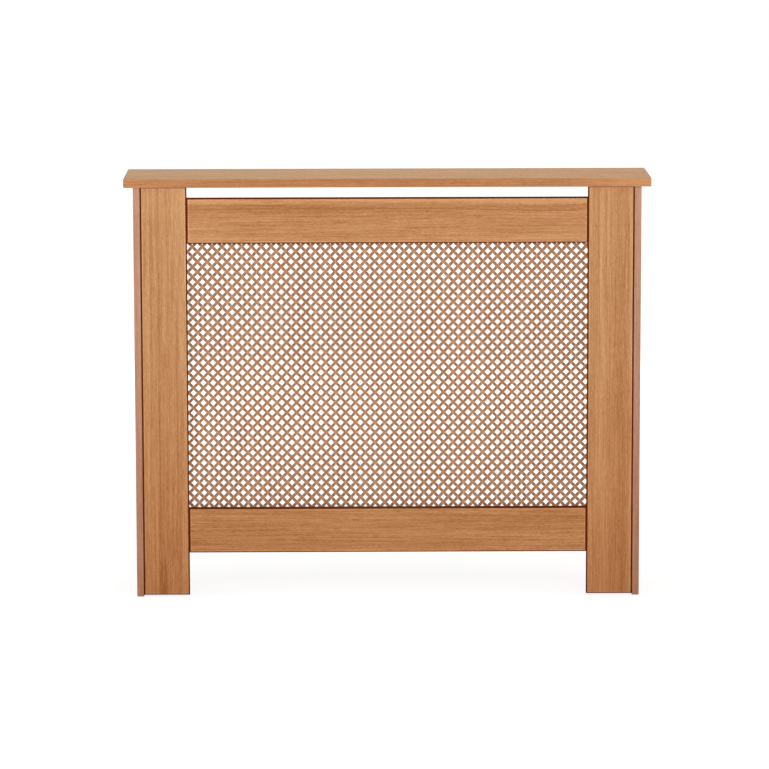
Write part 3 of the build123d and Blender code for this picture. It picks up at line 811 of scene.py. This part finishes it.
class CABINET_OT_edge_bands(bpy.types.Operator):
    """Edge bands: strips with rounded outer arrises on the top board and the side panels"""

    bl_idname = "cabinet.edge_bands"
    bl_label = "Edge bands"

    def execute(self, context):
        sizes, tones = context.scene.cabinet_boards, context.scene.cabinet_finish
        radius = sizes.band_arris

        def rounded(low, high):
            return rounded_outline(low, high, radius + 1.1 * MM)

        low, high = node_box("top_front_edge_band")
        pale_ends = (("X", low[0], 220 * MM, 0.25), ("X", high[0], 250 * MM, 0.50))
        front = oak_foil(
            "oak_front_band", "X", 2.0, tones.front_band, tones.front_band, tones.core,
            tones.front_band, tones.foil_gloss, 0.8 * tones.grain, bands=pale_ends,
        )
        thick = thickness("top_front_edge_band", 1)
        stations = band_section(thick, radius)
        zones = (FACE, FACE, FACE)
        board("top_front_edge_band", 1, False, rounded, stations, zones, front)
        ends = oak_foil(
            "oak_end_bands", "Y", 3.0, tones.end_band, tones.end_band, tones.core,
            tones.end_band, tones.foil_gloss, tones.grain,
        )
        for side in ("left", "right"):
            node = f"top_{side}_edge_band"
            thick = thickness(node, 0)
            stations = band_section(thick, radius)
            outward = side == "right"
            board(node, 0, outward, square_outline, stations, zones, ends)
        # Painted light: the side bands are paler in their top 100 mm, against the shade under the
        # top board.
        painted_light_at_top = ("Z", node_box("left_side_edge_band")[1][2], 100 * MM, 0.14)
        upright = oak_foil(
            "oak_side_bands", "Z", 4.0, tones.side_band, tones.side_band_low_painted_shade,
            tones.frame_edge, tones.side_band, tones.foil_gloss, 0.6 * tones.grain,
            # The frame's dark edge colour is painted shade on the bands' inner arrises beside the
            # stiles.
            bands=[painted_light_at_top],
        )
        for side in ("left", "right"):
            node = f"{side}_side_edge_band"
            thick = thickness(node, 1)
            stations = band_section(thick, radius)
            made = board(node, 1, False, square_outline, stations, zones, upright)
            paint_shade_on_inner_arris(made, radius)
        return {"FINISHED"}


class CABINET_OT_side_panels(bpy.types.Operator):
    """Side panels: boards with a skirting notch at the back"""

    bl_idname = "cabinet.side_panels"
    bl_label = "Side panels"

    def execute(self, context):
        sizes, tones = context.scene.cabinet_boards, context.scene.cabinet_finish
        arris = sizes.board_arris

        def notched(low, high):
            back, up = high[0] - sizes.notch_depth, low[1] + sizes.notch_height
            return straight_outline(
                [low, (back, low[1]), (back, up), (high[0], up), high, (low[0], high[1])]
            )

        for seed, side in ((6.0, "left"), (7.0, "right")):
            node = f"{side}_side_panel"
            finish = oak_foil(
                f"oak_{side}_side", "Z", seed, tones.side_face, tones.side_face, tones.core,
                tones.side_face, tones.foil_gloss, tones.grain,
            )
            stations = plain_section(thickness(node, 0), arris, arris)
            board(node, 0, False, notched, stations, (FACE, CORE, FACE), finish)
        return {"FINISHED"}


class CABINET_OT_stiles(bpy.types.Operator):
    """Stiles: upright boards of the front frame, with dark bevels"""

    bl_idname = "cabinet.stiles"
    bl_label = "Stiles"

    def execute(self, context):
        sizes, tones = context.scene.cabinet_boards, context.scene.cabinet_finish
        low, high = node_box("left_stile")
        heart = {
            "across": "X", "centre": low[0] + 43 * MM, "start": low[2],
            "curve": 900.0, "spacing": 0.06, "strength": 0.62, "reach": 0.14,
        }
        left_bands = (
            ("X", low[0] + 14 * MM, 9 * MM, 0.15),
            ("X", low[0] + 37 * MM, 5 * MM, -0.25),
            ("X", high[0] - 9 * MM, 9 * MM, 0.25),
            # Painted light: the top 90 mm of the stile is paler, against the shade under the top
            # board.
            ("Z", high[2], 90 * MM, 0.18),
        )
        low, high = node_box("right_stile")
        right_bands = (
            ("X", low[0] + 30 * MM, 5 * MM, 0.12),
            ("X", high[0] - 24 * MM, 22 * MM, -0.12),
            ("X", high[0] - 7 * MM, 8 * MM, 0.25),
            # Painted light: the top 90 mm of the stile is paler, against the shade under the top
            # board.
            ("Z", high[2], 90 * MM, 0.06),
            ("Z", low[2] + 230 * MM, 160 * MM, 0.09),
        )
        for seed, side, figure, bands, grain in (
            (8.0, "left", heart, left_bands, 0.9), (9.0, "right", None, right_bands, 0.82)
        ):
            node = f"{side}_stile"
            finish = oak_foil(
                f"oak_{side}_stile", "Z", seed, tones.stile_high, tones.stile_low_painted_shade,
                tones.frame_edge, tones.backing, tones.foil_gloss, grain * tones.grain,
                figure, bands,
            )
            stations = bevelled_section(
                thickness(node, 1), sizes.frame_bevel, sizes.dark_line, sizes.bevel_arris,
                sizes.board_arris,
            )
            zones = (FACE, PAINTED_HIGHLIGHT_ZONE, CORE, CORE, CORE, BACK)
            board(node, 1, False, square_outline, stations, zones, finish)
        return {"FINISHED"}


class CABINET_OT_rails(bpy.types.Operator):
    """Rails: level boards of the front frame, with dark bevels"""

    bl_idname = "cabinet.rails"
    bl_label = "Rails"

    def execute(self, context):
        sizes, tones = context.scene.cabinet_boards, context.scene.cabinet_finish
        low, high = node_box("top_rail")
        top_bands = (
            ("Z", high[2] - 7 * MM, 9 * MM, 0.35),
            ("Z", high[2] - 22 * MM, 14 * MM, -0.25),
            ("Z", low[2] + 10 * MM, 10 * MM, 0.20),
            ("X", low[0], 180 * MM, 0.13),
        )
        for seed, place, tone, bands in (
            # The bottom rail's colour is a darker copy of the top rail's: painted shade.
            (10.0, "top", tones.rail_high, top_bands), (11.0, "bottom", tones.rail_low_painted_shade, ())
        ):
            node = f"{place}_rail"
            finish = oak_foil(
                f"oak_{place}_rail", "X", seed, tone, tone, tones.frame_edge, tones.backing,
                tones.foil_gloss, tones.grain, bands=bands,
            )
            stations = bevelled_section(
                thickness(node, 1), sizes.frame_bevel, sizes.dark_line, sizes.bevel_arris,
                sizes.board_arris,
            )
            zones = (FACE, PAINTED_HIGHLIGHT_ZONE, CORE, CORE, CORE, BACK)
            board(node, 1, False, square_outline, stations, zones, finish)
        return {"FINISHED"}


class CABINET_OT_grille(bpy.types.Operator):
    """Lattice grille: a hardboard sheet with some 2270 punched diamond holes"""

    bl_idname = "cabinet.grille"
    bl_label = "Lattice grille"

    def execute(self, context):
        finish = hardboard("grille_hardboard", context.scene.cabinet_finish)
        points, faces, zone = lattice_surface(context.scene.cabinet_grille)
        made = piece(
            "oak_lattice_grille", points, faces, zone, finish, ["lattice_grille"],
        )
        made.data.polygons.foreach_set("use_smooth", np.zeros(len(made.data.polygons), bool))
        return {"FINISHED"}


class CABINET_OT_screws(bpy.types.Operator):
    """Screws, washers and bolts: bright zinc plate"""

    bl_idname = "cabinet.screws"
    bl_label = "Screws and washers"

    def execute(self, context):
        tones = context.scene.cabinet_finish
        finish = plated_steel("zinc_steel", tones.zinc, 0.30, 0.00002)
        dress(
            ["grille_screws", "grille_washers", "bracket_screws"]
            + [f"{group}_cam_bolts" for group in ("rail", "stile", "top")],
            finish,
        )
        return {"FINISHED"}


class CABINET_OT_brackets(bpy.types.Operator):
    """Wall brackets: bent steel angles"""

    bl_idname = "cabinet.brackets"
    bl_label = "Wall brackets"

    def execute(self, context):
        tones = context.scene.cabinet_finish
        finish = plated_steel("bracket_steel", darker(tones.zinc, 0.92), 0.38, 0.00003)
        dress(["left_wall_bracket", "right_wall_bracket"], finish)
        return {"FINISHED"}


class CABINET_OT_cams(bpy.types.Operator):
    """Cam locks and their cover caps"""

    bl_idname = "cabinet.cams"
    bl_label = "Cams and caps"

    def execute(self, context):
        tones = context.scene.cabinet_finish
        housing = plated_steel("cast_zinc", tones.cast_zinc, 0.48, 0.00006)
        dress([f"{group}_cam_locks" for group in ("rail", "stile", "top")], housing)
        dress(["cam_cover_caps"], moulded_plastic("cap_plastic", tones.cap))
        return {"FINISHED"}


class CABINET_OT_dowels(bpy.types.Operator):
    """Dowels: plain beech"""

    bl_idname = "cabinet.dowels"
    bl_label = "Dowels"

    def execute(self, context):
        finish = beech("beech_dowel", context.scene.cabinet_finish.beech)
        dress([f"{group}_dowels" for group in ("rail", "stile", "top")], finish)
        return {"FINISHED"}


def floor_finish(glow, near, far):
    """A white floor that keeps a faint shadow: mostly its own glow, and a little shading."""
    finish = Finish("studio_floor")
    plain = finish.add("ShaderNodeBsdfDiffuse", {"Color": (0.8, 0.8, 0.8, 1.0)}).outputs[0]
    shaded = finish.add("ShaderNodeBsdfDiffuse", {"Color": (0.32, 0.32, 0.32, 1.0)}).outputs[0]
    reach = finish.add("ShaderNodeVectorMath", {0: finish.place()}, operation="LENGTH").outputs[1]
    light = finish.eased(reach, near, far, glow, 1.0)
    light = finish.add("ShaderNodeEmission", {"Strength": light}).outputs[0]
    shown = finish.add("ShaderNodeAddShader", {0: shaded, 1: light}).outputs[0]
    both = finish.add("ShaderNodeMixShader", {0: finish.seen_by_eye(), 1: plain, 2: shown})
    finish.ends_in(both.outputs[0])
    return finish.material


def studio_world(ambient):
    """White where it is seen, and a soft even light elsewhere."""
    world = bpy.data.worlds.new("studio")
    sky = Nodes(world, "ShaderNodeOutputWorld")
    strength = {"Value": sky.seen_by_eye(), "To Min": ambient, "To Max": 1.0}
    strength = sky.add("ShaderNodeMapRange", strength).outputs[0]
    white = {"Color": (1.0, 1.0, 1.0, 1.0), "Strength": strength}
    sky.ends_in(sky.add("ShaderNodeBackground", white).outputs[0])
    return world


def soft_light(name, place, aim, size, power):
    """A rectangular soft light that the camera doesn't see."""
    lamp = bpy.data.lights.new(name, "AREA")
    lamp.shape = "RECTANGLE"
    lamp.size, lamp.size_y = size
    lamp.energy = power
    made = bpy.data.objects.new(name, lamp)
    made.location = place
    way = Vector(aim) - Vector(place)
    made.rotation_euler = way.to_track_quat("-Z", "Y").to_euler()
    made.visible_camera = False
    bpy.context.scene.collection.objects.link(made)


class CABINET_OT_stage(bpy.types.Operator):
    """Studio: camera, white floor and soft light"""

    bl_idname = "cabinet.stage"
    bl_label = "Studio"

    def execute(self, context):
        scene, stage = context.scene, context.scene.cabinet_stage
        lens = bpy.data.cameras.new("camera")
        lens.sensor_width = 36.0
        lens.lens = stage.focal_pixels / PHOTO_PIXELS * lens.sensor_width
        lens.clip_end = 200.0
        camera = bpy.data.objects.new("camera", lens)
        camera.location = (stage.camera_x, stage.camera_y, stage.camera_z)
        level = Matrix.Rotation(-stage.yaw, 3, "Z") @ Matrix.Rotation(
            math.pi / 2 - stage.pitch, 3, "X"
        )
        camera.rotation_euler = (level @ Matrix.Rotation(stage.roll, 3, "Z")).to_euler()
        scene.collection.objects.link(camera)
        scene.camera = camera

        mesh = bpy.data.meshes.new("floor")
        signs = ((-1, -1), (1, -1), (1, 1), (-1, 1))
        corners = [(x * FLOOR_REACH, y * FLOOR_REACH, 0) for x, y in signs]
        mesh.from_pydata(corners, [], [(0, 1, 2, 3)])
        mesh.materials.append(floor_finish(stage.floor_glow, stage.floor_near, stage.floor_far))
        floor = bpy.data.objects.new("floor", mesh)
        floor.location.z = -FLOOR_DROP
        scene.collection.objects.link(floor)

        for name, place, aim, size, power in SOFT_LIGHTS:
            soft_light(name, place, aim, size, getattr(stage, power))
        scene.world = studio_world(stage.ambient)
        scene.view_settings.view_transform = "Standard"
        return {"FINISHED"}


class CABINET_PT_panel(bpy.types.Panel):
    """The cabinet's pieces and their settings"""

    bl_idname = "CABINET_PT_panel"
    bl_label = "Radiator cover cabinet"
    bl_space_type = "VIEW_3D"
    bl_region_type = "UI"
    bl_category = "Cabinet"

    def draw(self, context):
        layout = self.layout
        for operator in OPERATORS:
            layout.operator(operator.bl_idname)
        for name in GROUPS:
            box = layout.box()
            group = getattr(context.scene, name)
            for key in group.__annotations__:
                box.prop(group, key)


OPERATORS = (
    CABINET_OT_stage,
    CABINET_OT_top_board,
    CABINET_OT_edge_bands,
    CABINET_OT_side_panels,
    CABINET_OT_stiles,
    CABINET_OT_rails,
    CABINET_OT_grille,
    CABINET_OT_screws,
    CABINET_OT_brackets,
    CABINET_OT_cams,
    CABINET_OT_dowels,
)
GROUPS = {
    "cabinet_boards": CabinetBoards,
    "cabinet_grille": CabinetGrille,
    "cabinet_finish": CabinetFinish,
    "cabinet_stage": CabinetStage,
}


def register():
    """Adds the classes, and the settings of each scene."""
    for group in GROUPS.values():
        bpy.utils.register_class(group)
    for name, group in GROUPS.items():
        setattr(bpy.types.Scene, name, bpy.props.PointerProperty(type=group))
    for operator in OPERATORS:
        bpy.utils.register_class(operator)
    bpy.utils.register_class(CABINET_PT_panel)


def unregister():
    """Takes them away again."""
    bpy.utils.unregister_class(CABINET_PT_panel)
    for operator in reversed(OPERATORS):
        bpy.utils.unregister_class(operator)
    for name in reversed(list(GROUPS)):
        delattr(bpy.types.Scene, name)
        bpy.utils.unregister_class(GROUPS[name])


def main():
    """Builds the cabinet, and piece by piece."""
    register()
    for operator in OPERATORS:
        family, action = operator.bl_idname.split(".")
        getattr(getattr(bpy.ops, family), action)()


if __name__ == "__main__":
    main()
